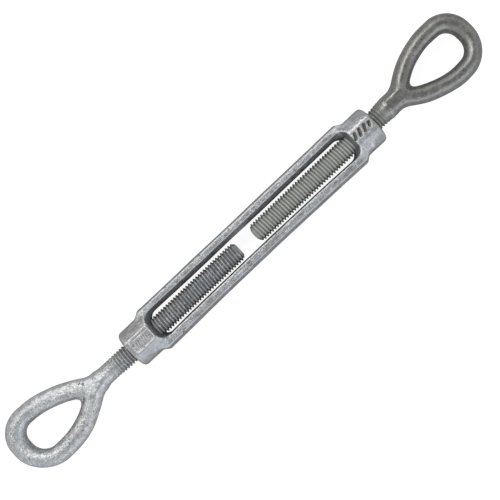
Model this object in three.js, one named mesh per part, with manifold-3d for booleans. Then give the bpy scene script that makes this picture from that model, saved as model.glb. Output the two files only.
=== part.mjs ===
import * as THREE from 'three';
import { mergeVertices } from 'three/addons/utils/BufferGeometryUtils.js';
import Module from 'manifold-3d';

// An eye-and-eye rigging turnbuckle with a 1/2-13 thread and 6 in of take-up, in millimetres.
// +X runs along the screws, towards the right-hand eye. The legs of the body and both eyes lie in the
// XY plane, +Z stands square to them, and the origin is on the screws' axis, half way between the eyes.

// The thread, on both screws and in both bosses
const PITCH = 25.4 / 13;
const CREST_RADIUS = 6.2;
const ROOT_RADIUS = 4.95;
const CREST_FLAT = PITCH / 8;
const THREAD_PLAY = 0.34; // radial room between a screw and its boss
const TURN_SIDES = 12; // flats in one turn of the helix
const RIGHT_HAND = 1;
const LEFT_HAND = -1;

// The forged body
const SLOT_LENGTH = 152.4; // take-up, between the inner faces of the bosses
const BOSS_LENGTH = 19.05;
const BOSS_RADIUS = 12.1;
const BOSS_SIDES = 24;
const BOSS_PAD_HEIGHT = 10.8; // the flats above and below each boss
const BOSS_EDGE = 1.5; // rounding of the outer rim
// The rounded inner end of a boss: [from its inner face, short of its full radius]
const BOSS_INNER_END = [[0, 4.75], [1.5, 2.4], [4.2, 0.4], [5.6, 0]];
const BORE_MOUTH_RADIUS = 6.95;
const BORE_MOUTH_DEPTH = 0.7;
const LEG_DEPTH = 12; // along Z
const LEG_LAND = 1; // straight band at the parting plane
const LEG_DRAFT = 1.5; // how far each side of a leg leans in by its top
const LEG_OUTSIDE_END = 14.55; // from the axis to a leg's outer side, beside a boss
const LEG_OUTSIDE_MIDDLE = 13.9;
const SLOT_HALF_WIDTH_END = 7.85;
const SLOT_HALF_WIDTH_MIDDLE = 6.95;
const SLOT_CORNER = 5;
const SHOULDER_FROM_SLOT_END = 1; // where a leg starts to narrow, short of the slot's end
const SHOULDER_LENGTH = 6.8; // from a leg's full width down into its boss
const SHOULDER_BEND = 0.42; // share of that length that pulls on each end of its curve
const FOOT_DEPTH = 0.9; // how far under the boss's surface a leg's root ends
const FOOT_RISE = 0.8;
const OUTLINE_STEPS = 5; // facets in each curved stretch of the outline
const DRAFT_STEPS = 3;

// The raised panel on top of the left-hand boss
const PANEL_LENGTH = 12.2;
const PANEL_WIDTH = 10.4;
const PANEL_HEIGHT = 0.45;
const PANEL_FROM_END = 4.7;
const PANEL_DEPTH = 2; // of which most is sunk in the boss

// The eye bolts, measured from the tip of the screw
const TIP_SEAM = 3; // the plain point ends here and the thread begins
const TIP_GAP = 0.3;
const TIP_RADIUS = 3.9;
const TIP_EDGE = 0.5; // a small chamfer round the flat tip
const TIP_SHOULDER_RADIUS = 4.35;
const THREAD_CHAMFER = 1.6;
const ENVELOPE_ROOM = 0.1; // between the thread and the turned outline that trims its end
const THREAD_END = 104.5;
const RUN_OUT = 4;
const RUN_OUT_SINK = 0.2; // how far under the thread's roots the run-out cone begins
const SHANK_RADIUS = 6.55;
const SHANK_END = 120;
const SHANK_TAPER_LENGTH = 4;
const SHANK_TAPER = 1.2;
const CROWN_CENTRE = 154.9; // where the eye is widest
const EYE_HALF_WIDTH = 15; // from the axis to the middle of the bar
const CROWN_FLAT = 1.2; // half the flat stretch at the top of the eye
const SIDE_RADIUS = 62; // the long arcs from the crown down to the shank
const BAR_RADIUS = 5.6;
const BAR_SIDES = 12;
const CROWN_STEPS = 8;
const SIDE_STEPS = 13;
const CROTCH_CENTRE = 129.6; // the small round end of the eye's opening
const CROTCH_RADIUS = 3.1;
const CROTCH_STEPS = 4;
const CROTCH_HALF_ANGLE = 110 * Math.PI / 180;
const WEB_THICKNESS = 8.4;
const WEB_ROOT_HALF_WIDTH = 3.5;
const WEB_HALF_WIDTH = 7.6;
const WEB_SETBACK = 2.4; // from the crotch's centre to where the web is widest

// How far each screw's tip stands from the middle of the body, with the bolts turned out part way
const RIGHT_TIP = 1.4;
const LEFT_TIP = 10.06;
const BODY_MIDDLE = (LEFT_TIP - RIGHT_TIP) / 2;

const wasm = await Module();
wasm.setup();

function toSolid(geometry) {
  const bare = new THREE.BufferGeometry();
  bare.setAttribute('position', geometry.getAttribute('position'));
  bare.setIndex(geometry.getIndex());
  const merged = mergeVertices(bare, 1e-4);
  const vertProperties = merged.getAttribute('position').array;
  const triVerts = new Uint32Array(merged.getIndex().array);
  return new wasm.Manifold(new wasm.Mesh({ numProp: 3, vertProperties, triVerts }));
}

function toGeometry(solid) {
  const mesh = solid.getMesh();
  const geometry = new THREE.BufferGeometry();
  geometry.setAttribute('position', new THREE.BufferAttribute(mesh.vertProperties, 3));
  geometry.setIndex(new THREE.BufferAttribute(mesh.triVerts, 1));
  geometry.computeVertexNormals();
  return geometry;
}

// A solid of revolution about the X axis, from pairs of [x, radius] in order of x.
function turned(profile, sides) {
  const points = profile.map(([x, radius]) => new THREE.Vector2(radius, x));
  const lathe = new THREE.LatheGeometry(points, sides);
  lathe.rotateZ(-Math.PI / 2);
  return toSolid(lathe);
}

function block(sizeX, sizeY, sizeZ, centreX, centreY, centreZ) {
  const box = new THREE.BoxGeometry(sizeX, sizeY, sizeZ);
  box.translate(centreX, centreY, centreZ);
  return toSolid(box);
}

// A screw thread about the X axis between two places, closed by a fan at each end. Its roots lie on whole
// multiples of the pitch at angle 0, so a screw and its nut stay in step. Growth widens the whole thread.
function screw(from, to, hand, growth) {
  const rise = (PITCH - CREST_FLAT) / 2;
  const profile = [
    [0, ROOT_RADIUS + growth],
    [rise, CREST_RADIUS + growth],
    [rise + CREST_FLAT, CREST_RADIUS + growth],
  ];
  const perTurn = profile.length;
  const firstTurn = Math.floor(from / PITCH) - 1;
  const turns = Math.ceil(to / PITCH) + 1 - firstTurn;
  const rings = turns * perTurn;
  const vertices = [];
  const ids = new Map();

  // After a full turn the helix has moved along by one pitch, so that vertex is the first column's own.
  function vertex(ring, side) {
    if (side === TURN_SIDES) return vertex(ring + perTurn, 0);
    const key = ring * TURN_SIDES + side;
    if (!ids.has(key)) {
      const [offset, radius] = profile[ring % perTurn];
      const turn = firstTurn + Math.floor(ring / perTurn) + side / TURN_SIDES;
      const angle = hand * 2 * Math.PI * side / TURN_SIDES;
      ids.set(key, vertices.length / 3);
      vertices.push(turn * PITCH + offset, radius * Math.cos(angle), radius * Math.sin(angle));
    }
    return ids.get(key);
  }

  const triangles = [];
  function triangle(a, b, c) {
    triangles.push(a, ...(hand === RIGHT_HAND ? [b, c] : [c, b]));
  }
  for (let ring = 0; ring < rings; ring += 1) {
    for (let side = 0; side < TURN_SIDES; side += 1) {
      const a = vertex(ring, side);
      const b = vertex(ring + 1, side);
      const c = vertex(ring + 1, side + 1);
      const d = vertex(ring, side + 1);
      triangle(a, c, b);
      triangle(a, d, c);
    }
  }
  function fan(ring, centreX, facing) {
    const centre = vertices.length / 3;
    vertices.push(centreX, 0, 0);
    const rim = [];
    for (let side = 0; side <= TURN_SIDES; side += 1) rim.push(vertex(ring, side));
    for (let back = perTurn - 1; back >= 0; back -= 1) rim.push(vertex(ring + back, 0));
    for (let i = 0; i + 1 < rim.length; i += 1) {
      if (facing < 0) triangle(centre, rim[i + 1], rim[i]);
      else triangle(centre, rim[i], rim[i + 1]);
    }
  }
  fan(0, firstTurn * PITCH, -1);
  fan(rings, (firstTurn + turns + 1) * PITCH, 1);

  const geometry = new THREE.BufferGeometry();
  geometry.setAttribute('position', new THREE.Float32BufferAttribute(vertices, 3));
  geometry.setIndex(triangles);
  return toSolid(geometry);
}

// The two legs and the roots that run into the bosses, drawn at the parting plane where they are widest.
function legs() {
  const slotEnd = SLOT_LENGTH / 2;
  const shoulder = slotEnd - SHOULDER_FROM_SLOT_END;
  const foot = shoulder + SHOULDER_LENGTH;
  const footY = BOSS_RADIUS - FOOT_DEPTH;
  const bend = SHOULDER_LENGTH * SHOULDER_BEND;
  const waistPull = 2 * LEG_OUTSIDE_MIDDLE - LEG_OUTSIDE_END;
  const slotPull = 2 * SLOT_HALF_WIDTH_MIDDLE - SLOT_HALF_WIDTH_END;
  const cornerX = slotEnd - SLOT_CORNER;
  const cornerY = SLOT_HALF_WIDTH_END - SLOT_CORNER;

  const outline = new THREE.Shape();
  const slot = new THREE.Path();
  outline.moveTo(foot, -footY);
  slot.moveTo(slotEnd, -cornerY);
  // One side at a time, +Y from right to left and then -Y from left to right.
  for (const side of [1, -1]) {
    outline.lineTo(side * foot, side * footY);
    outline.bezierCurveTo(
      side * (foot - bend), side * (footY + FOOT_RISE),
      side * (shoulder + bend), side * LEG_OUTSIDE_END,
      side * shoulder, side * LEG_OUTSIDE_END,
    );
    outline.quadraticCurveTo(0, side * waistPull, -side * shoulder, side * LEG_OUTSIDE_END);
    outline.bezierCurveTo(
      -side * (shoulder + bend), side * LEG_OUTSIDE_END,
      -side * (foot - bend), side * (footY + FOOT_RISE),
      -side * foot, side * footY,
    );
    slot.lineTo(side * slotEnd, side * cornerY);
    slot.quadraticCurveTo(
      side * slotEnd, side * SLOT_HALF_WIDTH_END,
      side * cornerX, side * SLOT_HALF_WIDTH_END,
    );
    slot.quadraticCurveTo(0, side * slotPull, -side * cornerX, side * SLOT_HALF_WIDTH_END);
    slot.quadraticCurveTo(
      -side * slotEnd, side * SLOT_HALF_WIDTH_END,
      -side * slotEnd, side * cornerY,
    );
  }
  outline.closePath();
  slot.closePath();
  outline.holes.push(slot);

  const forging = new THREE.ExtrudeGeometry(outline, {
    depth: LEG_LAND,
    bevelThickness: (LEG_DEPTH - LEG_LAND) / 2,
    bevelSize: LEG_DRAFT,
    bevelOffset: -LEG_DRAFT,
    bevelSegments: DRAFT_STEPS,
    curveSegments: OUTLINE_STEPS,
  });
  forging.translate(0, 0, -LEG_LAND / 2);
  return toSolid(forging);
}

// The right-hand boss, with a pad above and a pad below.
function boss() {
  const inner = SLOT_LENGTH / 2;
  const outer = inner + BOSS_LENGTH;
  const round = turned([
    [inner, 0],
    ...BOSS_INNER_END.map(([depth, short]) => [inner + depth, BOSS_RADIUS - short]),
    [outer - BOSS_EDGE, BOSS_RADIUS],
    [outer - BOSS_EDGE / 3, BOSS_RADIUS - BOSS_EDGE / 3],
    [outer, BOSS_RADIUS - BOSS_EDGE],
    [outer, 0],
  ], BOSS_SIDES);
  const middle = (inner + outer) / 2;
  const padded = block(2 * BOSS_LENGTH, 4 * BOSS_RADIUS, 2 * BOSS_PAD_HEIGHT, middle, 0, 0);
  return round.intersect(padded);
}

// What the tap and the countersinks take out of a boss, in the frame of the bolt that runs in it.
function tappedBore(tip, hand) {
  const inner = SLOT_LENGTH / 2 - tip;
  const outer = inner + BOSS_LENGTH;
  const margin = 1;
  const wide = BORE_MOUTH_RADIUS;
  const reach = turned([
    [inner - margin, 0],
    [inner - margin, wide],
    [outer + margin, wide],
    [outer + margin, 0],
  ], TURN_SIDES);
  // A countersink into a face of the boss, cut towards inward.
  function mouth(face, inward) {
    const profile = [
      [face - margin * inward, 0],
      [face - margin * inward, wide],
      [face, wide],
      [face + BORE_MOUTH_DEPTH * inward, wide - 2 * BORE_MOUTH_DEPTH],
      [face + BORE_MOUTH_DEPTH * inward, 0],
    ];
    if (inward < 0) profile.reverse();
    return turned(profile, BOSS_SIDES);
  }
  return screw(inner - margin, outer + margin, hand, THREAD_PLAY)
    .intersect(reach)
    .add(mouth(inner, 1))
    .add(mouth(outer, -1));
}

function turnbuckleBody() {
  const rightBoss = boss();
  const leftBoss = rightBoss.rotate([0, 0, 180]);
  const panelCentre = PANEL_FROM_END + PANEL_LENGTH / 2 - SLOT_LENGTH / 2 - BOSS_LENGTH;
  const panelTop = BOSS_PAD_HEIGHT + PANEL_HEIGHT;
  const panelMiddleZ = panelTop - PANEL_DEPTH / 2;
  const panel = block(PANEL_LENGTH, PANEL_WIDTH, PANEL_DEPTH, panelCentre, 0, panelMiddleZ);
  const rightBore = tappedBore(RIGHT_TIP, RIGHT_HAND).translate([RIGHT_TIP, 0, 0]);
  const leftBore = tappedBore(LEFT_TIP, LEFT_HAND).translate([LEFT_TIP, 0, 0]).rotate([0, 0, 180]);
  const solid = legs()
    .add(rightBoss)
    .add(leftBoss)
    .add(panel)
    .subtract(rightBore)
    .subtract(leftBore);
  return toGeometry(solid);
}

// The middle line of one half of the eye, from the top of the crown round to the shank. Its stations are
// placed by hand: one for the crown's flat, then even steps round the crown, then even steps down the side.
class HalfEye extends THREE.Curve {
  getPoint(t, target = new THREE.Vector3()) {
    const station = t * (1 + CROWN_STEPS + SIDE_STEPS);
    const crownRadius = EYE_HALF_WIDTH - CROWN_FLAT;
    if (station <= 1) {
      return target.set(CROWN_CENTRE + crownRadius, CROWN_FLAT * station, 0);
    }
    if (station <= 1 + CROWN_STEPS) {
      const angle = (station - 1) / CROWN_STEPS * Math.PI / 2;
      const x = CROWN_CENTRE + crownRadius * Math.cos(angle);
      return target.set(x, CROWN_FLAT + crownRadius * Math.sin(angle), 0);
    }
    const drop = SIDE_RADIUS - EYE_HALF_WIDTH;
    const sweep = Math.acos(drop / SIDE_RADIUS);
    const angle = (station - 1 - CROWN_STEPS) / SIDE_STEPS * sweep;
    const x = CROWN_CENTRE - SIDE_RADIUS * Math.sin(angle);
    return target.set(x, SIDE_RADIUS * Math.cos(angle) - drop, 0);
  }

  getUtoTmapping(u) {
    return u;
  }
}

function halfEye() {
  const section = new THREE.Shape();
  for (let i = 0; i < BAR_SIDES; i += 1) {
    const angle = (i + 0.5) / BAR_SIDES * 2 * Math.PI;
    const x = BAR_RADIUS * Math.cos(angle);
    const y = BAR_RADIUS * Math.sin(angle);
    if (i === 0) section.moveTo(x, y);
    else section.lineTo(x, y);
  }
  section.closePath();
  const bar = new THREE.ExtrudeGeometry(section, {
    steps: 1 + CROWN_STEPS + SIDE_STEPS,
    extrudePath: new HalfEye(),
    bevelEnabled: false,
  });
  return toSolid(bar);
}

// The web that closes the narrow end of the eye's opening with a round.
function crotchWeb() {
  const rootX = SHANK_END - SHANK_TAPER_LENGTH;
  const wideX = CROTCH_CENTRE - WEB_SETBACK;
  const shape = new THREE.Shape();
  shape.moveTo(rootX, -WEB_ROOT_HALF_WIDTH);
  shape.lineTo(wideX, -WEB_HALF_WIDTH);
  shape.absarc(CROTCH_CENTRE, 0, CROTCH_RADIUS, -CROTCH_HALF_ANGLE, CROTCH_HALF_ANGLE, true);
  shape.lineTo(wideX, WEB_HALF_WIDTH);
  shape.lineTo(rootX, WEB_ROOT_HALF_WIDTH);
  shape.closePath();
  const web = new THREE.ExtrudeGeometry(shape, {
    depth: WEB_THICKNESS,
    bevelEnabled: false,
    curveSegments: CROTCH_STEPS,
  });
  web.translate(0, 0, -WEB_THICKNESS / 2);
  return toSolid(web);
}

// The plain end of the screw, ahead of its thread.
function screwPoint() {
  return toGeometry(turned([
    [0, 0],
    [0, TIP_RADIUS],
    [TIP_EDGE, TIP_SHOULDER_RADIUS],
    [TIP_SEAM - TIP_GAP, ROOT_RADIUS],
    [TIP_SEAM - TIP_GAP, 0],
  ], BOSS_SIDES));
}

function eyeBolt(hand) {
  const chamfered = turned([
    [TIP_SEAM, 0],
    [TIP_SEAM, ROOT_RADIUS + ENVELOPE_ROOM],
    [TIP_SEAM + THREAD_CHAMFER, CREST_RADIUS + ENVELOPE_ROOM],
    [THREAD_END, CREST_RADIUS + ENVELOPE_ROOM],
    [THREAD_END, 0],
  ], BOSS_SIDES);
  const shank = turned([
    [THREAD_END - RUN_OUT, 0],
    [THREAD_END - RUN_OUT, ROOT_RADIUS - RUN_OUT_SINK],
    [THREAD_END, SHANK_RADIUS],
    [SHANK_END - SHANK_TAPER_LENGTH, SHANK_RADIUS],
    [SHANK_END, SHANK_RADIUS - SHANK_TAPER],
    [SHANK_END, 0],
  ], BOSS_SIDES);
  const half = halfEye();
  const solid = screw(TIP_SEAM, THREAD_END, hand, 0)
    .intersect(chamfered)
    .add(shank)
    .add(half)
    .add(half.mirror([0, 1, 0]))
    .add(crotchWeb());
  return toGeometry(solid);
}

function steel(color, roughness) {
  return new THREE.MeshStandardMaterial({ color, roughness, metalness: 0.85 });
}

function piece(name, geometry, material) {
  const mesh = new THREE.Mesh(geometry, material);
  mesh.name = name;
  return mesh;
}

// A bolt and its point, with the tip of the screw at the group's origin and the eye towards its +X.
function bolt(side, hand, color) {
  const group = new THREE.Group();
  group.add(piece(`${side}_hand_screw_point`, screwPoint(), steel(color, 0.5)));
  group.add(piece(`${side}_hand_eye_bolt`, eyeBolt(hand), steel(color, 0.5)));
  return group;
}

const turnbuckle = new THREE.Group();
const body = piece('turnbuckle_body', turnbuckleBody(), steel(0x989ea3, 0.52));
body.position.x = BODY_MIDDLE;
turnbuckle.add(body);

const rightBolt = bolt('right', RIGHT_HAND, 0x7f8178);
rightBolt.position.x = BODY_MIDDLE + RIGHT_TIP;
turnbuckle.add(rightBolt);

const leftBolt = bolt('left', LEFT_HAND, 0xa9acad);
leftBolt.position.x = BODY_MIDDLE - LEFT_TIP;
leftBolt.rotation.z = Math.PI;
turnbuckle.add(leftBolt);

export default turnbuckle;
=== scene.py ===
"""The looks of an eye-and-eye rigging turnbuckle: a forged, galvanised body with an eye bolt in each end.

Shapes are worked out in millimetres in each piece's own frame, with X along the screws' axis, and placed
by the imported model's boxes. A forging is a smooth distance field turned into a mesh, a thread is a helical
grid, and booleans join the two.
"""

import bpy
import numpy as np
from mathutils import Matrix, Vector


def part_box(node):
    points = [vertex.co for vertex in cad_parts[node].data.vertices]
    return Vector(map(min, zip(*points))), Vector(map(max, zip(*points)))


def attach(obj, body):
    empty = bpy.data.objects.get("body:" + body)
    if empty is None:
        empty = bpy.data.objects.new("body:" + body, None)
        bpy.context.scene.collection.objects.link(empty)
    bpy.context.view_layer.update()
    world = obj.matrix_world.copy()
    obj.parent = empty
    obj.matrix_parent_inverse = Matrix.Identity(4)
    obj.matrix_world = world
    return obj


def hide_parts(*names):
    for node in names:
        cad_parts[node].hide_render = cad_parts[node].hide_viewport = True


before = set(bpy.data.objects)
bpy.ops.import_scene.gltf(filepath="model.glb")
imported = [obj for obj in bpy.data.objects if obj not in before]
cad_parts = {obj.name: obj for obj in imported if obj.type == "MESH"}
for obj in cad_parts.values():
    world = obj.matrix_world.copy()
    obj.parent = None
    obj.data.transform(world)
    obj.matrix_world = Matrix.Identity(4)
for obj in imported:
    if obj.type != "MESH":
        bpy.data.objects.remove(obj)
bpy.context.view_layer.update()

MM = 0.001

# The thread, on both screws and in both bosses
PITCH = 25.4 / 13
CREST_RADIUS = 6.2
ROOT_RADIUS = 4.95
THREAD_PLAY = 0.34
RIGHT_HAND = 1
LEFT_HAND = -1

# The body, from its middle
SLOT_HALF_LENGTH = 76.2
BOSS_RADIUS = 12.1
BOSS_HALF_DEPTH = 11.6  # of the round under the pads
LEG_HALF_DEPTH = 6.0
LEG_OVERLAP = 9  # how far a leg runs on inside its boss
LEG_DRAFT = 0.27
LEG_DRAFT_COSINE = 0.965
PARTING_LAND = 0.5
BODY_SKEW = -0.0033  # the forging runs a little off the line of its bores
SHOULDER = 76.9  # where a leg starts to narrow into its boss
SHOULDER_LENGTH = 6.0
SHOULDER_DROP = 3.4
BORE_MOUTH_RADIUS = 6.95
BORE_MOUTH_DEPTH = 0.9
BORE_OVERSHOOT = 3  # how far the cutting thread runs past each end of a boss
BORE_REACH = 7.2  # the walls of the threaded bores are nearer to the axis than this
BORE_START = SLOT_HALF_LENGTH - 2  # and further out than this

# The panel of ribs on the left-hand boss and the strokes on the right-hand one
PANEL_HEIGHT = 0.6
PANEL_FRAME = 1.3
RIB_RADIUS = 0.36
STROKES = ((80.9, 1.6), (84.5, 1.9), (88.1, 1.7), (91.6, 1.0))  # middle and half length of each
STROKE_RADIUS = 0.76
STROKE_MIDDLE_Y = 0.7
STROKE_DIRECTION = (0.42, 0.907)
STROKE_DEPTH = 0.5

# The eye bolts, from the tip of the screw
THREAD_END = 104.5
SHANK_RADIUS = 6.55
CROWN_CENTRE = 154.9
CROWN_FLAT = 1.2
EYE_HALF_WIDTH = 15.0
SIDE_RADIUS = 62.0
SHANK_END = 121
EYE_START = 112
LIGHTER_THREAD = (78, 88)  # where a thread's own colour and dullness start to give way, in part, to its bolt's

# The meshes' cells, and the gap that keeps the body off the floor
BODY_STEP = 0.4
EYE_STEP = 0.34
FLOOR_GAP = 0.12


# ---------------------------------------------------------------- fields

def smooth_union(a, b, blend):
    """The nearer of two fields, with a fillet where they meet."""
    meet = np.maximum(blend - np.abs(a - b), 0) / blend
    return np.minimum(a, b) - meet * meet * blend / 4


def smooth_both(a, b, blend):
    return -smooth_union(-a, -b, blend)


def ramp(value, start, end):
    """0 before start and 1 after end, easing between them."""
    share = np.clip((value - start) / (end - start), 0, 1)
    return share * share * (3 - 2 * share)


def rounded_box(long, wide, corner):
    """The field of a rectangle with rounded corners, from how far a point is past its inner rectangle."""
    outside = np.hypot(np.maximum(long, 0), np.maximum(wide, 0))
    return outside + np.minimum(np.maximum(long, wide), 0) - corner


def undulation(x, y, z, size, seed):
    """Smooth unevenness between about -1 and 1, with lumps some `size` millimetres across."""
    waves = np.random.default_rng(seed)
    total = 0
    for _ in range(7):
        direction = waves.normal(size=3)
        direction *= 2 * np.pi / size / np.linalg.norm(direction) * waves.uniform(0.35, 1.0)
        start = waves.uniform(0, 2 * np.pi)
        total = total + np.sin(x * direction[0] + y * direction[1] + z * direction[2] + start)
    return total / 3.5


def between(x, middle, end):
    """A width that is `middle` at the middle of the body and grows to `end` by the ends of the slot."""
    return middle + (end - middle) * np.clip(np.abs(x) / SLOT_HALF_LENGTH, 0, 1) ** 2


def legs_field(x, y, z):
    """The two legs, with draft on their outer sides. The leg towards -Y is bowed inwards."""
    outside = np.where(y > 0, between(x, 14.65, 14.72), between(x, 13.75, 14.6))
    outside = outside - SHOULDER_DROP * ramp(np.abs(x), SHOULDER, SHOULDER + SHOULDER_LENGTH)
    rise = np.maximum(np.abs(z) - PARTING_LAND, 0)
    side = (np.abs(y) - outside + LEG_DRAFT * rise) * LEG_DRAFT_COSINE
    top = np.abs(z) - LEG_HALF_DEPTH
    end = np.abs(x) - SLOT_HALF_LENGTH - LEG_OVERLAP
    return smooth_both(smooth_both(side, top, 0.9), end, 2)


def bosses_field(x, y, z):
    """The two bosses: slightly flattened rounds with a flat pad above and below."""
    squash = BOSS_RADIUS / BOSS_HALF_DEPTH
    rim = np.sqrt(y * y + (z * squash) ** 2) - BOSS_RADIUS
    padded = smooth_both(rim, np.abs(z) - boss_pad_height, 0.4)
    ends = smooth_both(padded, np.abs(x) - boss_outer_face, 2.6)
    return smooth_both(ends, SLOT_HALF_LENGTH - 1.2 - np.abs(x), 3.0)


def void_field(x, y, z):
    """The slot between the legs, which opens out above and below the parting plane."""
    rise = np.maximum(np.abs(z) - PARTING_LAND, 0)
    corner = 5.0
    inside = np.where(y > 0, between(x, 7.5, 7.8), between(x, 6.8, 7.6))
    side_draft = np.where(y > 0, 0.40, 0.19)
    short_end = np.where(x > 0, 0.4 - 0.33 * rise, 1.6 - 0.27 * rise)
    wide = np.abs(y) - inside - side_draft * np.minimum(rise, 7) + corner
    long = np.abs(x) - SLOT_HALF_LENGTH + short_end + corner
    return rounded_box(long, wide, corner)


def panel_field(x, y, z):
    """The raised panel on the left-hand boss and the row of plain ribs across it."""
    middle, half_length, half_width, corner = -85.1, 7.5, 5.1, 2.4
    rib_spacing, rib_half_length, rib_slant = 1.45, 2.2, 0.22
    long = np.abs(x - middle) - half_length + corner
    wide = np.abs(y) - half_width + corner
    outline = rounded_box(long, wide, corner)
    panel = smooth_both(outline, z - boss_pad_height - PANEL_HEIGHT, 0.5)
    dish = smooth_both(outline + PANEL_FRAME, boss_pad_height + 0.1 - z, 0.4)
    panel = smooth_both(panel, -dish, 0.4)
    phase = (x - middle - rib_slant * y) / rib_spacing
    nearest = np.clip(np.round(phase), -3, 3)
    rib = np.hypot(np.maximum(np.abs(y) - rib_half_length, 0), (phase - nearest) * rib_spacing) - RIB_RADIUS
    rib = smooth_both(rib, z - boss_pad_height - PANEL_HEIGHT, 0.3)
    return smooth_both(smooth_union(panel, rib, 0.25), boss_pad_height - 1 - z, 0.3)


def strokes_field(x, y):
    """Four plain slanting strokes sunk in the right-hand boss's pad."""
    nearest = 9.0  # past any stroke's reach
    lean_x, lean_y = STROKE_DIRECTION
    across = y - STROKE_MIDDLE_Y
    for middle, half in STROKES:
        along = np.clip((x - middle) * lean_x + across * lean_y, -half, half)
        nearest = np.minimum(nearest, np.hypot(x - middle - along * lean_x, across - along * lean_y))
    return nearest - STROKE_RADIUS


def body_field(x, y, z):
    """The whole body with plain bores. The bores stay on the axis, and the forging round them is skewed."""
    bore = np.hypot(y, z) - ROOT_RADIUS
    y = y - BODY_SKEW * x
    fillet = 0.9 + 2.2 * ramp(np.abs(z), 1.5, 5)
    solid = smooth_union(legs_field(x, y, z), bosses_field(x, y, z), fillet)
    solid = smooth_union(solid, panel_field(x, y, z), 0.4)
    solid = smooth_both(solid, -void_field(x, y, z), 0.8)
    solid = smooth_both(solid, -bore, 0.3)
    stroke = smooth_both(strokes_field(x, y), boss_pad_height - STROKE_DEPTH - z, 0.3)
    return smooth_both(solid, -stroke, 0.3)


def sway(x, steps):
    """How far the line of a bolt has wandered sideways at x, in a few eased steps."""
    return sum(amount * ramp(x, start, end) for start, end, amount in steps)


def strand_field(x, y, z, shape):
    """One side of an eye: half the crown and the long arc down to the shank."""
    crown_radius = EYE_HALF_WIDTH - CROWN_FLAT
    down = CROWN_CENTRE - x
    above = down < 0
    bow = shape["belly"] * ramp(down, -2, 10) * (1 - ramp(down, 26, 42))
    bow = bow - shape["pinch"] * ramp(down, 22, 33) * (1 - ramp(down, 42, 50))
    crown = np.hypot(down, np.maximum(y - CROWN_FLAT, 0)) - crown_radius
    crown = np.where(y < CROWN_FLAT, -down - crown_radius, crown)
    arc_y = EYE_HALF_WIDTH - SIDE_RADIUS
    long_arc = np.hypot(down, y - bow - arc_y) - SIDE_RADIUS
    from_middle = np.where(above, crown, long_arc)
    bar = shape["crown_bar"] + (shape["side_bar"] - shape["crown_bar"]) * ramp(down, 0, 20)
    return np.hypot(from_middle, z) - bar


def eye_field(x, y, z, shape):
    """The eye, its neck and its shank, which starts inside the end of the thread."""
    axis_y = y - shape["bend"] * np.maximum(x - THREAD_END, 0) - sway(x, shape["sways"][1:])
    beyond_crown = np.maximum(x - CROWN_CENTRE, 0)
    crown_y = axis_y - shape["crown_skew"] * beyond_crown
    crown_x = x + (1 / shape["crown_stretch"] - 1) * beyond_crown
    left = strand_field(crown_x, crown_y, z, shape)
    right = strand_field(crown_x, -crown_y, z, shape)
    # Each strand ends beside the axis inside the shank, and at the crown the two halves meet.
    below = ramp(CROWN_CENTRE - x, 0, 12)
    past_axis = CROWN_FLAT + below * (3 - CROWN_FLAT)
    left = left + 2 * np.maximum(-past_axis - crown_y, 0)
    right = right + 2 * np.maximum(crown_y - past_axis, 0)
    crotch = 0.05 + below * (4.8 - 3.0 * ramp(np.abs(z), 1.5, 4.5))
    eye = smooth_union(left, right, crotch)
    radius = SHANK_RADIUS - (SHANK_RADIUS - shape["neck"]) * (1 - ramp(x, THREAD_END + 1.5, THREAD_END + 6))
    shank = np.hypot(axis_y, z) - radius + 0.42 * np.maximum(THREAD_END - x, 0)
    shank = smooth_both(shank, x - SHANK_END, 6)
    shank = np.maximum(shank, THREAD_END - 5 - x)
    eye = smooth_both(eye, EYE_START - x, 3)
    forging = smooth_union(eye, shank, shape["fillet"])
    tilt = shape["facet_tilt"]
    facet = (z + tilt * axis_y - shape["facet"]) / np.hypot(1, tilt)
    middle, half = shape["facet_at"]
    beyond = np.maximum(np.abs(x - middle) - half, 0)
    return smooth_both(forging, facet - 0.12 * beyond, 1.3)


# ---------------------------------------------------------------- meshing

def gradient(field, points, reach):
    """The field and its slope at each point, and how it curves there (positive over an outward edge)."""
    here = field(*points.T)
    slope = np.empty_like(points)
    bend = -6 * here
    for axis in range(3):
        shift = np.zeros(3)
        shift[axis] = reach
        ahead = field(*(points + shift).T)
        behind = field(*(points - shift).T)
        slope[:, axis] = (ahead - behind) / (2 * reach)
        bend = bend + ahead + behind
    return here, slope, bend / reach ** 2


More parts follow.
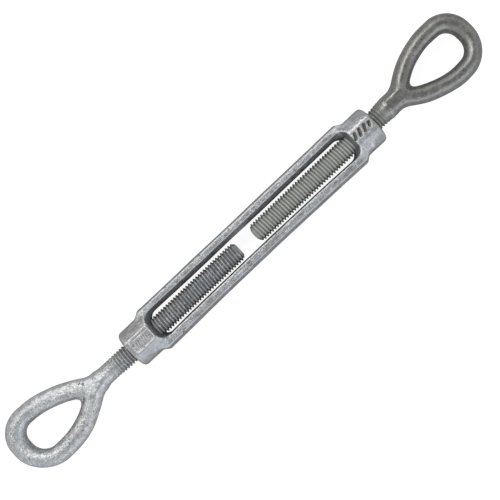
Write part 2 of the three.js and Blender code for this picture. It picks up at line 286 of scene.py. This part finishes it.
def surface_nets(field, low, high, step):
    """Points and quads on the zero level of the field, with one point in each cell that it crosses."""
    axes = [np.arange(lo - 2 * step, hi + 3 * step, step) for lo, hi in zip(low, high)]
    grid = np.meshgrid(*axes, indexing="ij", sparse=True)
    values = np.broadcast_to(field(*grid), [len(axis) for axis in axes])
    inside = values < 0
    cells = [n - 1 for n in inside.shape]
    count = np.zeros(cells, np.int8)
    corners = [(i, j, k) for i in (0, 1) for j in (0, 1) for k in (0, 1)]
    for i, j, k in corners:
        count += inside[i:i + cells[0], j:j + cells[1], k:k + cells[2]]
    crossed = np.argwhere((count > 0) & (count < 8))
    ids = np.full(cells, -1, np.int64)
    ids[tuple(crossed.T)] = np.arange(len(crossed))

    total = np.zeros((len(crossed), 3))
    hits = np.zeros(len(crossed))
    for corner in corners:
        for axis in range(3):
            if corner[axis]:
                continue
            other = list(corner)
            other[axis] = 1
            a = values[tuple((crossed + corner).T)]
            b = values[tuple((crossed + other).T)]
            hit = (a < 0) != (b < 0)
            share = np.where(hit, a / np.where(hit, a - b, 1), 0)
            place = np.tile(np.array(corner, float), (len(crossed), 1))
            place[:, axis] += share
            total += place * hit[:, None]
            hits += hit
    points = (crossed + total / hits[:, None]) * step + np.array([axis[0] for axis in axes])

    quads = []
    for axis in range(3):
        u, v = (axis + 1) % 3, (axis + 2) % 3
        first = np.take(inside, range(0, inside.shape[axis] - 1), axis)
        second = np.take(inside, range(1, inside.shape[axis]), axis)
        edges = np.argwhere(first != second)
        ring = []
        for back_u, back_v in ((1, 1), (0, 1), (0, 0), (1, 0)):
            cell = edges.copy()
            cell[:, u] -= back_u
            cell[:, v] -= back_v
            ring.append(ids[tuple(cell.T)])
        quad = np.stack(ring, 1)
        inward = ~first[tuple(edges.T)]
        quad[inward] = quad[inward][:, ::-1]
        quads.append(quad)
    return points, np.concatenate(quads)


def forged(field, low, high, step, lumps, seed):
    """Points and quads of a forging: the field's surface, settled on it and then made a little uneven."""
    points, quads = surface_nets(field, low, high, step)
    for _ in range(3):
        here, slope, _bend = gradient(field, points, 0.05)
        size = np.maximum((slope ** 2).sum(1), 0.2)
        move = np.clip(here / size, -step, step)
        points = points - slope * move[:, None]
    _here, slope, _bend = gradient(field, points, 0.2)
    normal = slope / np.linalg.norm(slope, axis=1, keepdims=True)
    rough = sum(depth * undulation(*points.T, size, seed + i) for i, (size, depth) in enumerate(lumps))
    return points + normal * rough[:, None], quads


def new_object(name, points, faces):
    mesh = bpy.data.meshes.new(name)
    mesh.from_pydata(points.tolist(), [], faces.tolist() if hasattr(faces, "tolist") else faces)
    mesh.validate()
    mesh.update()
    piece = bpy.data.objects.new(name, mesh)
    bpy.context.scene.collection.objects.link(piece)
    return piece


def combine(piece, other, operation):
    """Joins, cuts or trims a piece with another closed mesh, which is used up."""
    cut = piece.modifiers.new("cut", "BOOLEAN")
    cut.operation = operation
    cut.object = other
    cut.solver = "MANIFOLD"
    evaluated = piece.evaluated_get(bpy.context.evaluated_depsgraph_get())
    mesh = bpy.data.meshes.new_from_object(evaluated)
    piece.modifiers.clear()
    old = piece.data
    piece.data = mesh
    mesh.name = piece.name
    bpy.data.meshes.remove(old)
    bpy.data.objects.remove(other)
    return piece


def turned(name, profile, sides):
    """A closed solid of revolution about X, from (x, radius) pairs that start and end on the axis."""
    points = [(profile[0][0], 0, 0), (profile[-1][0], 0, 0)]
    rings = []
    for x, radius in profile[1:-1]:
        rings.append(range(len(points), len(points) + sides))
        for side in range(sides):
            angle = 2 * np.pi * side / sides
            points.append((x, radius * np.cos(angle), radius * np.sin(angle)))
    faces = []
    for side in range(sides):
        after = (side + 1) % sides
        faces.append((0, rings[0][after], rings[0][side]))
        faces.append((1, rings[-1][side], rings[-1][after]))
        for near, far in zip(rings, rings[1:]):
            faces.append((near[side], near[after], far[after], far[side]))
    return new_object(name, np.array(points), faces)


def thread_radius(share):
    """The radius of the thread at a share of the way along one pitch, from root to root."""
    height = np.clip((1 - np.abs(2 * share - 1) - 0.06) / 0.8, 0, 1)
    eased = height * height * (3 - 2 * height)
    return ROOT_RADIUS + (CREST_RADIUS - ROOT_RADIUS) * (0.35 * height + 0.65 * eased)


def screw(name, start, end, hand, growth, sides, steps, fade=None, nose=None):
    """A screw about X, closed by a fan at each end. Its roots lie on whole multiples of the pitch at angle 0.
    Growth widens it all. Over the stretch `fade` the thread dies away into a plain round, and over the
    stretch `nose` it starts as one."""
    first = int(np.floor(start / PITCH)) - 1
    turns = int(np.ceil(end / PITCH)) + 1 - first
    rings = turns * steps
    ring, side = np.meshgrid(np.arange(rings + steps + 1), np.arange(sides), indexing="ij")
    share = (ring % steps) / steps
    x = (first + ring // steps + share + side / sides) * PITCH
    angle = hand * 2 * np.pi * side / sides
    radius = thread_radius(share) + growth
    if fade:
        fade_start, fade_end, plain = fade
        radius = radius + (plain - radius) * ramp(x, fade_start, fade_end)
    if nose:
        radius = radius + (CREST_RADIUS - 0.2 - radius) * (1 - ramp(x, *nose))
    points = np.stack([x, radius * np.cos(angle), radius * np.sin(angle)], -1).reshape(-1, 3)

    def vertex(ring, side):
        # After a full turn the helix has moved along by one pitch, so that point is the first column's own.
        wrapped = side == sides
        return (ring + steps * wrapped) * sides + np.where(wrapped, 0, side)

    ring, side = np.meshgrid(np.arange(rings), np.arange(sides), indexing="ij")
    ring, side = ring.ravel(), side.ravel()
    quad = [vertex(ring, side), vertex(ring, side + 1), vertex(ring + 1, side + 1), vertex(ring + 1, side)]
    faces = np.stack(quad, 1).tolist()
    for at, centre_x, forward in ((0, first * PITCH, False), (rings, (first + turns + 1) * PITCH, True)):
        centre = len(points)
        points = np.vstack([points, (centre_x, 0, 0)])
        rim = [int(vertex(at, s)) for s in range(sides + 1)]
        rim += [int(vertex(at + back, 0)) for back in range(steps - 1, -1, -1)]
        for a, b in zip(rim, rim[1:]):
            faces.append([centre, a, b] if forward else [centre, b, a])
    used = np.unique(np.concatenate([np.ravel(face) for face in faces]))
    number = np.full(len(points), -1)
    number[used] = np.arange(len(used))
    faces = [[int(number[v]) for v in face] for face in faces]
    if hand == LEFT_HAND:
        faces = [face[::-1] for face in faces]
    return new_object(name, points[used], faces)


# ---------------------------------------------------------------- pieces

def vertex_array(mesh):
    points = np.empty(len(mesh.vertices) * 3, np.float32)
    mesh.vertices.foreach_get("co", points)
    return points.reshape(-1, 3).astype(float)


def store(mesh, name, values):
    """Keeps a value for each vertex, for the materials to read."""
    attribute = mesh.attributes.new(name, "FLOAT", "POINT")
    attribute.data.foreach_set("value", np.asarray(values, np.float32))


def finish_mesh(piece, placement, crease, finish):
    mesh = piece.data
    mesh.materials.clear()
    mesh.materials.append(finish)
    mesh.polygons.foreach_set("material_index", np.zeros(len(mesh.polygons), np.int32))
    mesh.transform(placement)
    mesh.shade_smooth()
    mesh.set_sharp_from_angle(angle=crease)
    mesh.update()


def left_frame(tip):
    return Matrix.Translation((tip, 0, 0)) @ Matrix.Rotation(np.pi, 4, "Z") @ Matrix.Scale(MM, 4)


def right_frame(tip):
    return Matrix.Translation((tip, 0, 0)) @ Matrix.Scale(MM, 4)


def edge_share(field, points):
    """How much each point lies on an outward edge, from 0 to 1."""
    _here, _slope, bend = gradient(field, points, 0.6)
    return np.clip((bend - 0.28) / 0.7, 0, 1)


def make_body(finish):
    """The forged body with its two threaded bores, and what its material needs to know of each point."""
    reach = boss_outer_face + 0.5
    points, quads = forged(
        body_field, (-reach, -15.5, -11.5), (reach, 15.5, 11.8), BODY_STEP, [(26, 0.09), (7, 0.035)], 3
    )
    body = new_object("forged_body", points, quads)
    for side, tip, hand in ((1, right_tip, RIGHT_HAND), (-1, left_tip, LEFT_HAND)):
        start = SLOT_HALF_LENGTH - tip - BORE_OVERSHOOT
        end = boss_outer_face - tip + BORE_OVERSHOOT
        bore = screw("bore", start, end, hand, THREAD_PLAY, 36, 8)
        bore.data.transform(Matrix.Translation((tip, 0, 0)))
        if side < 0:
            bore.data.transform(Matrix.Rotation(np.pi, 4, "Z"))
        combine(body, bore, "DIFFERENCE")
        depth = BORE_MOUTH_DEPTH
        face = boss_outer_face
        mouth = turned("mouth", [
            (face - depth, 0),
            (face - depth, BORE_MOUTH_RADIUS - 2 * depth),
            (face, BORE_MOUTH_RADIUS),
            (face + 2, BORE_MOUTH_RADIUS + 0.5),
            (face + 2, 0),
        ], 64)
        if side < 0:
            mouth.data.transform(Matrix.Rotation(np.pi, 4, "Z"))
        combine(body, mouth, "DIFFERENCE")
    points = vertex_array(body.data)
    radius = np.hypot(points[:, 1], points[:, 2])
    x, y, z = points.T
    in_bore = (radius < BORE_REACH) & (np.abs(x) > BORE_START)
    skewed = y - BODY_SKEW * x
    pad_half_width = BOSS_RADIUS * np.sqrt(1 - (boss_pad_height / BOSS_HALF_DEPTH) ** 2)
    # Painted highlight: a bright line along each boss pad's crease, full strength towards +Y and a quarter as
    # strong towards -Y.
    crease = 1 - ramp(np.abs(np.abs(skewed) - pad_half_width - 0.1), 0.15, 0.85)
    crease = crease * (np.abs(z) > boss_pad_height - 0.7) * np.where(y > 0, 1, 0.25)
    # Painted highlight over the panel and its ribs where they stand above the pad.
    raised = 0.9 * ramp(z - boss_pad_height, 0.2, 0.4)
    # Edges that wear has made lighter, less so along the legs.
    lightened = edge_share(body_field, points) * (0.3 + 0.7 * ramp(np.abs(x), SHOULDER - 6, SHOULDER))
    # The edge value is thus part wear and part painted highlight.
    edge = np.maximum(np.maximum(lightened, crease), raised)
    store(body.data, "edge", np.where(in_bore, 0, edge))
    # Painted shade inside the threaded bores.
    store(body.data, "groove", np.where(in_bore, 0.8, 0))
    store(body.data, "threaded", np.zeros(len(points)))
    # The sunk strokes, coloured near black.
    stroke = 1 - ramp(strokes_field(x, skewed), 0.05, 0.6)
    store(body.data, "dark_stroke", stroke * (z > boss_pad_height - 1))
    # Brownish stains towards the bosses' outer faces, and painted shade: the left-hand boss's flank towards
    # +Y is darkened and warmed.
    rim = ramp(np.abs(x), boss_outer_face - 5, boss_outer_face)
    painted_shade_flank = 0.8 * ramp(-x, SHOULDER - 3, SHOULDER + 4) * ramp(y, 4, 7)
    store(body.data, "grime_and_shade", np.maximum(rim, painted_shade_flank))
    finish_mesh(body, right_frame(body_middle * MM), np.radians(38), finish)
    return body


def point_outline(domed):
    """The turned outline that trims the end of a screw."""
    far = THREAD_END + 30
    if domed:
        crown = [(4.2 * (1 - np.cos(a)), 6.3 * np.sin(a) ** 0.85) for a in np.radians(np.arange(9, 91, 9))]
        return [(0, 0)] + crown + [(far, 6.9), (far, 0)]
    return [(0, 0), (0, 3.3), (0.25, 4.0), (0.8, 4.75), (1.7, 5.5), (2.9, 6.35), (far, 6.9), (far, 0)]


def make_bolt(name, tip, hand, shape, lumps, seed, finish):
    """One eye bolt, eye, shank and thread in one mesh, with its tip at `tip` on the row's X axis."""
    def field(x, y, z):
        return eye_field(x, y, z, shape)

    low, high = (THREAD_END - 6, -21, -8), (176, 21, 8)
    points, quads = forged(field, low, high, EYE_STEP, lumps, seed)
    bolt = new_object(name, points, quads)
    fade = (THREAD_END - shape["run_out"], THREAD_END + 1, shape["neck"] - 0.1)
    nose = (0.6, 1.6) if shape["domed"] else None
    thread = screw(name + "_thread", 1, THREAD_END - 2, hand, 0, 48, 10, fade, nose)
    combine(thread, turned("point", point_outline(shape["domed"]), 64), "INTERSECT")
    combine(bolt, thread, "UNION")
    points = vertex_array(bolt.data)
    shifted = points.copy()
    shifted[:, 1] += sway(points[:, 0], shape["sways"][:1])
    bolt.data.vertices.foreach_set("co", shifted.ravel())
    radius = np.hypot(points[:, 1], points[:, 2])
    on_thread = (points[:, 0] < THREAD_END) & (points[:, 0] > 0.02)
    # How deep each point lies in the thread, for painted shade in its roots and a painted highlight along its
    # crests.
    depth = np.clip((CREST_RADIUS - radius) / (CREST_RADIUS - ROOT_RADIUS), 0, 1)
    near_tip = ramp(points[:, 0], 0.5, 3.2)
    store(bolt.data, "groove", np.where(on_thread, depth * near_tip, 0))
    store(bolt.data, "edge", np.where(points[:, 0] < THREAD_END, 0, edge_share(field, points)))
    threaded = 1 - ramp(points[:, 0], THREAD_END - shape["run_out"] * 2, THREAD_END + 4)
    # Towards the shank a thread keeps less of its own colour and dullness, by the shape's share.
    store(bolt.data, "threaded", threaded * (1 - shape["lightened"] * ramp(points[:, 0], *LIGHTER_THREAD)))
    store(bolt.data, "dark_stroke", np.zeros(len(points)))
    store(bolt.data, "grime_and_shade", 0.5 - 0.5 * ramp(np.abs(points[:, 0] - 128), 4, 14))
    placement = right_frame(tip * MM) if hand == RIGHT_HAND else left_frame(tip * MM)
    finish_mesh(bolt, placement, np.radians(50), finish)
    return bolt


# ---------------------------------------------------------------- materials

class Nodes:
    """A short way to write a material's node tree."""

    def __init__(self, tree):
        self.tree = tree

    def add(self, kind, links=None, **settings):
        node = self.tree.nodes.new(kind)
        for key, value in settings.items():
            setattr(node, key, value)
        for key, value in (links or {}).items():
            socket = node.inputs[key]
            if isinstance(value, bpy.types.NodeSocket):
                self.tree.links.new(value, socket)
            else:
                socket.default_value = value
        return node

    def math(self, operation, a, b, clamp=False):
        node = self.add("ShaderNodeMath", {0: a, 1: b}, operation=operation, use_clamp=clamp)
        return node.outputs[0]

    def noise(self, scale, detail, roughness=0.55, distortion=0.0, place=None):
        links = {"Vector": place or self.place, "Scale": scale, "Detail": detail}
        links.update({"Roughness": roughness, "Distortion": distortion})
        return self.add("ShaderNodeTexNoise", links).outputs["Fac"]

    def span(self, value, low, high, to_low=0.0, to_high=1.0):
        links = {"Value": value, "From Min": low, "From Max": high, "To Min": to_low, "To Max": to_high}
        return self.add("ShaderNodeMapRange", links, interpolation_type="SMOOTHSTEP").outputs[0]

    def mix(self, share, a, b, blend="MIX"):
        node = self.add("ShaderNodeMix", {0: share, 6: a, 7: b}, data_type="RGBA", blend_type=blend)
        return node.outputs[2]

    def attribute(self, name):
        return self.add("ShaderNodeAttribute", attribute_name=name).outputs["Fac"]


def grey(level, warmth=0.0):
    return (level * (1 + warmth), level, level * (1 - warmth), 1)


def zinc(name, dark, light, thread, contrast, frost, streak, gloss, bumpy):
    """Hot-dip galvanised steel: mottled zinc with frosty grains, small dark pits, faint brownish stains, dull
    zinc-filled threads, edges that wear has made brighter and near black sunk strokes. Painted light on it:
    painted highlights along the boss pads' creases, over the panel and along the thread crests, and painted
    shade in the thread roots and bores, on one boss flank, on the screws' far sides and at rims that turn
    away."""
    material = bpy.data.materials.new(name)
    material.use_nodes = True
    tree = material.node_tree
    tree.nodes.clear()
    n = Nodes(tree)
    n.place = n.add("ShaderNodeTexCoord").outputs["Object"]

    clouds = n.noise(75, 4, 0.6, 0.4)
    mottle = n.noise(270, 5, 0.65, 0.3)
    fleck = n.noise(900, 3, 0.6)
    grain = n.noise(2000, 2, 0.6)
    along = n.add("ShaderNodeMapping", {"Vector": n.place, "Scale": (0.05, 1, 1)}).outputs[0]
    drawn = n.noise(1000, 3, 0.6, 0.0, along)

    tone = 0.5
    for value, share in ((clouds, 0.9), (mottle, 1.2), (fleck, 2.0), (grain, 1.1), (drawn, streak)):
        tone = n.math("ADD", tone, n.math("MULTIPLY", n.math("SUBTRACT", value, 0.5), share * contrast))

    colour = n.mix(tone, dark, light)
    threaded = n.attribute("threaded")
    colour = n.mix(n.math("MULTIPLY", threaded, 0.8), colour, thread)
    stains = n.span(n.noise(48, 3, 0.55), 0.52, 0.68, 0, 0.35)
    # Brownish stains from noise and from the body's marks, with painted shade on one boss flank, all as one
    # warm darkening.
    grime_and_shade = n.math("MULTIPLY", n.attribute("grime_and_shade"), n.span(mottle, 0.35, 0.6, 0.4, 0.95))
    stain_and_shade_colour = n.mix(1.0, colour, (0.93, 0.90, 0.84, 1), "MULTIPLY")
    colour = n.mix(n.math("MAXIMUM", stains, grime_and_shade), colour, stain_and_shade_colour)
    speck = n.math("MULTIPLY", n.span(fleck, 0.54, 0.64), n.span(mottle, 0.44, 0.58, 0, frost))
    colour = n.mix(speck, colour, grey(0.93))
    # The edge value lightens edges for wear, and the pad creases and the panel as painted highlight.
    edge = n.math("MULTIPLY", n.attribute("edge"), n.span(mottle, 0.3, 0.6, 0.3, 0.85))
    colour = n.mix(edge, colour, grey(0.85))
    # Painted shade in the thread roots and inside the bores, and a painted highlight along the thread crests.
    groove = n.attribute("groove")
    colour = n.mix(n.span(groove, 0.35, 1.0, 0, 0.1), colour, grey(0.05))
    painted_crest_highlight = n.math("MULTIPLY", threaded, n.span(groove, 0.0, 0.25, 0.35, 0))
    colour = n.mix(n.math("MULTIPLY", painted_crest_highlight, n.span(mottle, 0.38, 0.58, 0.0, 1.0)), colour, grey(0.85))
    cells = n.add("ShaderNodeTexVoronoi", {"Vector": n.place, "Scale": 210, "Randomness": 1.0})
    pits = cells.outputs["Distance"]
    pit = n.span(n.math("ADD", pits, n.math("MULTIPLY", fleck, 0.3)), 0.20, 0.33, 1, 0)
    pit = n.math("MULTIPLY", pit, n.span(clouds, 0.45, 0.6))
    colour = n.mix(n.math("MULTIPLY", pit, 0.7), colour, grey(0.07, 0.05))
    # The sunk strokes are coloured near black, a little unevenly.
    dark_stroke = n.math("MULTIPLY", n.attribute("dark_stroke"), n.span(fleck, 0.35, 0.6, 1, 0.75))
    colour = n.mix(n.math("MULTIPLY", dark_stroke, 0.95), colour, grey(0.035, 0.08))

    # How far a point faces away from the eye, measured on the plain round of a screw and not on its flanks,
    # for painted shade on the screws' far sides
    across = n.add("ShaderNodeMapping", {"Vector": n.place, "Scale": (0, 1, 1)}).outputs[0]
    outward = n.add("ShaderNodeVectorTransform", {0: across}, vector_type="VECTOR").outputs[0]
    outward = n.add("ShaderNodeVectorMath", {0: outward}, operation="NORMALIZE").outputs[0]
    geometry = n.add("ShaderNodeNewGeometry").outputs
    facing = n.add("ShaderNodeVectorMath", {0: outward, 1: geometry["Incoming"]}, operation="DOT_PRODUCT")
    turned_away = n.math("MULTIPLY", threaded, n.span(facing.outputs["Value"], 0.32, 0.82, 0.8, 0))
    slant = {0: geometry["Normal"], 1: geometry["Incoming"]}
    facing = n.add("ShaderNodeVectorMath", slant, operation="DOT_PRODUCT")
    plain = n.math("SUBTRACT", 1, threaded)
    rim = n.math("MULTIPLY", plain, n.span(facing.outputs["Value"], 0.15, 0.5, 0.5, 0))
    # Painted shade: the screws darken towards their far sides, and the other parts at rims that turn away
    # from the camera.
    colour = n.mix(n.math("ADD", turned_away, rim), colour, grey(0.05, 0.08))

    rough = n.span(mottle, 0.3, 0.7, gloss - 0.07, gloss + 0.09)
    rough = n.math("ADD", rough, n.math("MULTIPLY", fleck, 0.12))
    rough = n.math("ADD", rough, n.math("MULTIPLY", threaded, 0.3), True)
    coarse = n.math("SUBTRACT", n.math("ADD", mottle, n.math("MULTIPLY", clouds, 1.2)), pit)
    dents = n.add("ShaderNodeBump", {"Height": coarse, "Distance": 0.0007 * bumpy, "Strength": 0.9})
    fine = n.math("ADD", fleck, n.math("MULTIPLY", drawn, 0.5 * streak))
    skin = n.add("ShaderNodeBump", {"Height": fine, "Distance": 0.00024 * bumpy, "Strength": 0.9,
                                    "Normal": dents.outputs[0]})
    steel = n.add("ShaderNodeBsdfPrincipled", {
        "Base Color": colour,
        "Metallic": n.span(threaded, 0, 1, 0.9, 0.4),
        "Roughness": rough,
        "Normal": skin.outputs[0],
    })
    n.add("ShaderNodeOutputMaterial", {"Surface": steel.outputs[0]})
    return material


# ---------------------------------------------------------------- stage

def pale_floor(height):
    """A wide matt floor that the camera sees as near white, and the steel reflects as pale grey."""
    size = 6.0
    corners = [(-size, -size, height), (size, -size, height), (size, size, height), (-size, size, height)]
    floor = new_object("floor", np.array(corners), [(0, 1, 2, 3)])
    material = bpy.data.materials.new("pale_floor")
    material.use_nodes = True
    tree = material.node_tree
    tree.nodes.clear()
    n = Nodes(tree)
    paint = n.add("ShaderNodeBsdfDiffuse", {"Color": grey(0.35)})
    glow = n.add("ShaderNodeEmission", {"Color": grey(1), "Strength": 0.89})
    lit = n.add("ShaderNodeAddShader", {0: paint.outputs[0], 1: glow.outputs[0]})
    seen = n.add("ShaderNodeBsdfDiffuse", {"Color": grey(0.7)})
    ray = n.add("ShaderNodeLightPath").outputs["Is Camera Ray"]
    both = n.add("ShaderNodeMixShader", {0: ray, 1: seen.outputs[0], 2: lit.outputs[0]})
    n.add("ShaderNodeOutputMaterial", {"Surface": both.outputs[0]})
    floor.data.materials.append(material)


def studio():
    """White seen behind, and a soft room for the steel to reflect: pale walls above the horizon, warmer and
    dimmer low down towards +Y, cooler towards -Y, brighter towards -X, and dark overhead."""
    world = bpy.data.worlds.new("studio")
    bpy.context.scene.world = world
    world.use_nodes = True
    tree = world.node_tree
    tree.nodes.clear()
    n = Nodes(tree)
    direction = n.add("ShaderNodeTexCoord").outputs["Generated"]
    split = n.add("ShaderNodeSeparateXYZ", {0: direction})
    across = n.span(split.outputs["Y"], -0.8, 0.8)
    horizon = n.mix(across, (0.54, 0.585, 0.65, 1), (0.27, 0.25, 0.22, 1))
    lengthwise = n.span(split.outputs["X"], -0.9, 0.9, 1.6, 1.0)
    horizon = n.mix(1.0, horizon, lengthwise, "MULTIPLY")
    walls = n.mix(n.span(split.outputs["Z"], 0.1, 0.45), horizon, grey(0.66, -0.01))
    room = n.mix(n.span(split.outputs["Z"], 0.78, 0.98), walls, grey(0.22, -0.01))
    ray = n.add("ShaderNodeLightPath").outputs["Is Camera Ray"]
    colour = n.mix(ray, room, grey(1.0))
    background = n.add("ShaderNodeBackground", {"Color": colour, "Strength": 1.0})
    n.add("ShaderNodeOutputWorld", {"Surface": background.outputs[0]})


def area_light(name, place, target, size, power, colour):
    data = bpy.data.lights.new(name, "AREA")
    data.shape = "RECTANGLE"
    data.size, data.size_y = size
    data.energy = power
    data.color = colour
    lamp = bpy.data.objects.new(name, data)
    lamp.location = place
    lamp.rotation_mode = "QUATERNION"
    lamp.rotation_quaternion = (Vector(target) - Vector(place)).to_track_quat("-Z", "Y")
    bpy.context.scene.collection.objects.link(lamp)


def camera():
    """Above the turnbuckle, a little towards -Y, turned so that the screws run up to the right."""
    distance = 0.52
    frame_width = 0.28715
    target = Vector((-0.00175, -0.0044, 0))
    lean = np.radians(-4.0)
    turn = 0.7582
    back = Vector((0, np.tan(lean), 1)).normalized()
    upright = Vector((np.sin(turn), np.cos(turn), 0))
    right = upright.cross(back).normalized()
    up = back.cross(right)
    data = bpy.data.cameras.new("camera")
    data.sensor_width = 36
    data.lens = data.sensor_width * distance / frame_width
    eye = bpy.data.objects.new("camera", data)
    rotation = Matrix((right, up, back)).transposed().to_4x4()
    eye.matrix_world = Matrix.Translation(target + back * distance) @ rotation
    bpy.context.scene.collection.objects.link(eye)
    bpy.context.scene.camera = eye


# ---------------------------------------------------------------- build

body_low, body_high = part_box("turnbuckle_body")
body_middle = (body_low.x + body_high.x) / 2 / MM
boss_outer_face = (body_high.x - body_low.x) / 2 / MM
boss_pad_height = -body_low.z / MM
right_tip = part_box("right_hand_screw_point")[0].x / MM - body_middle
left_tip = body_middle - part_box("left_hand_screw_point")[1].x / MM

body_zinc = zinc(
    "galvanised_body",
    dark=grey(0.33, -0.035),
    light=grey(0.66, -0.035),
    thread=grey(0.2),
    contrast=0.7,
    frost=0.45,
    streak=1.4,
    gloss=0.30,
    bumpy=0.8,
)
olive_zinc = zinc(
    "galvanised_olive",
    dark=(0.21, 0.21, 0.202, 1),
    light=(0.37, 0.37, 0.358, 1),
    thread=(0.57, 0.59, 0.56, 1),
    contrast=0.85,
    frost=0.12,
    streak=0.8,
    gloss=0.29,
    bumpy=0.2,
)
frosty_zinc = zinc(
    "galvanised_frosty",
    dark=grey(0.41, -0.03),
    light=grey(0.82, -0.03),
    thread=grey(0.30, -0.05),
    contrast=0.9,
    frost=0.9,
    streak=0.0,
    gloss=0.28,
    bumpy=1.1,
)
body = make_body(body_zinc)

# What tells the two bolts apart:
# - domed: the tip is a dome and not a cone.
# - run_out: the length over which the thread dies away. neck: the shank's radius beside it.
# - fillet: the blend between shank and eye. bend: the slope of the bolt past its thread.
# - facet, facet_tilt, facet_at: the forged flat on the neck, as height, tilt, and middle and half length.
# - crown_bar, side_bar: the radius of the bar. belly, pinch: how far a strand bulges or draws in.
# - sways: steps sideways, as start, end and amount. The first one moves the thread's end too.
# - lightened: how much of the thread's own colour and dullness gives way to the bolt's near its end.
# - crown_skew, crown_stretch: how far the crown leans, and how long it is.
right_shape = {
    "domed": True,
    "run_out": 11,
    "neck": 6.75,
    "fillet": 2.4,
    "bend": 0.0205,
    "facet": 6.05,
    "facet_tilt": -0.16,
    "facet_at": (112, 6),
    "crown_bar": 5.5,
    "side_bar": 5.25,
    "belly": 0.6,
    "pinch": 0.0,
    "sways": ((92, 103, 0.5), (106, 124, -0.35), (132, 150, -0.3)),
    "lightened": 0.0,
    "crown_skew": 0.045,
    "crown_stretch": 0.958,
}
left_shape = {
    "domed": False,
    "run_out": 15,
    "neck": 5.75,
    "fillet": 2.4,
    "bend": -0.0095,
    "facet": 5.6,
    "facet_tilt": -0.14,
    "facet_at": (119, 5),
    "crown_bar": 5.62,
    "side_bar": 5.7,
    "belly": 0.1,
    "pinch": 0.38,
    "sways": ((90, 103, -0.45), (104, 120, 0.8), (132, 156, -0.9)),
    "lightened": 0.35,
    "crown_skew": -0.12,
    "crown_stretch": 1.04,
}
right_bolt = make_bolt("forged_right_hand_eye_bolt", right_tip + body_middle, RIGHT_HAND, right_shape,
                       [(30, 0.12), (9, 0.05)], 11, olive_zinc)
left_bolt = make_bolt("forged_left_hand_eye_bolt", body_middle - left_tip, LEFT_HAND, left_shape,
                      [(26, 0.17), (9, 0.07)], 23, frosty_zinc)

for piece, finish, *nodes in (
    (body, "body_steel", "turnbuckle_body"),
    (right_bolt, "right_bolt_steel", "right_hand_eye_bolt", "right_hand_screw_point"),
    (left_bolt, "left_bolt_steel", "left_hand_eye_bolt", "left_hand_screw_point"),
):
    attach(piece, nodes[0])
    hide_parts(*nodes)

pale_floor(body_low.z - FLOOR_GAP * MM)
studio()
area_light("key", (-0.05, 0.62, 0.95), (0, 0, 0), (1.0, 0.35), 3.6, (1.0, 0.99, 0.97))
area_light("fill", (0.1, -0.95, 0.6), (0, 0, 0), (1.2, 0.5), 1.6, (0.93, 0.96, 1.0))
camera()
bpy.context.scene.view_settings.view_transform = "Standard"
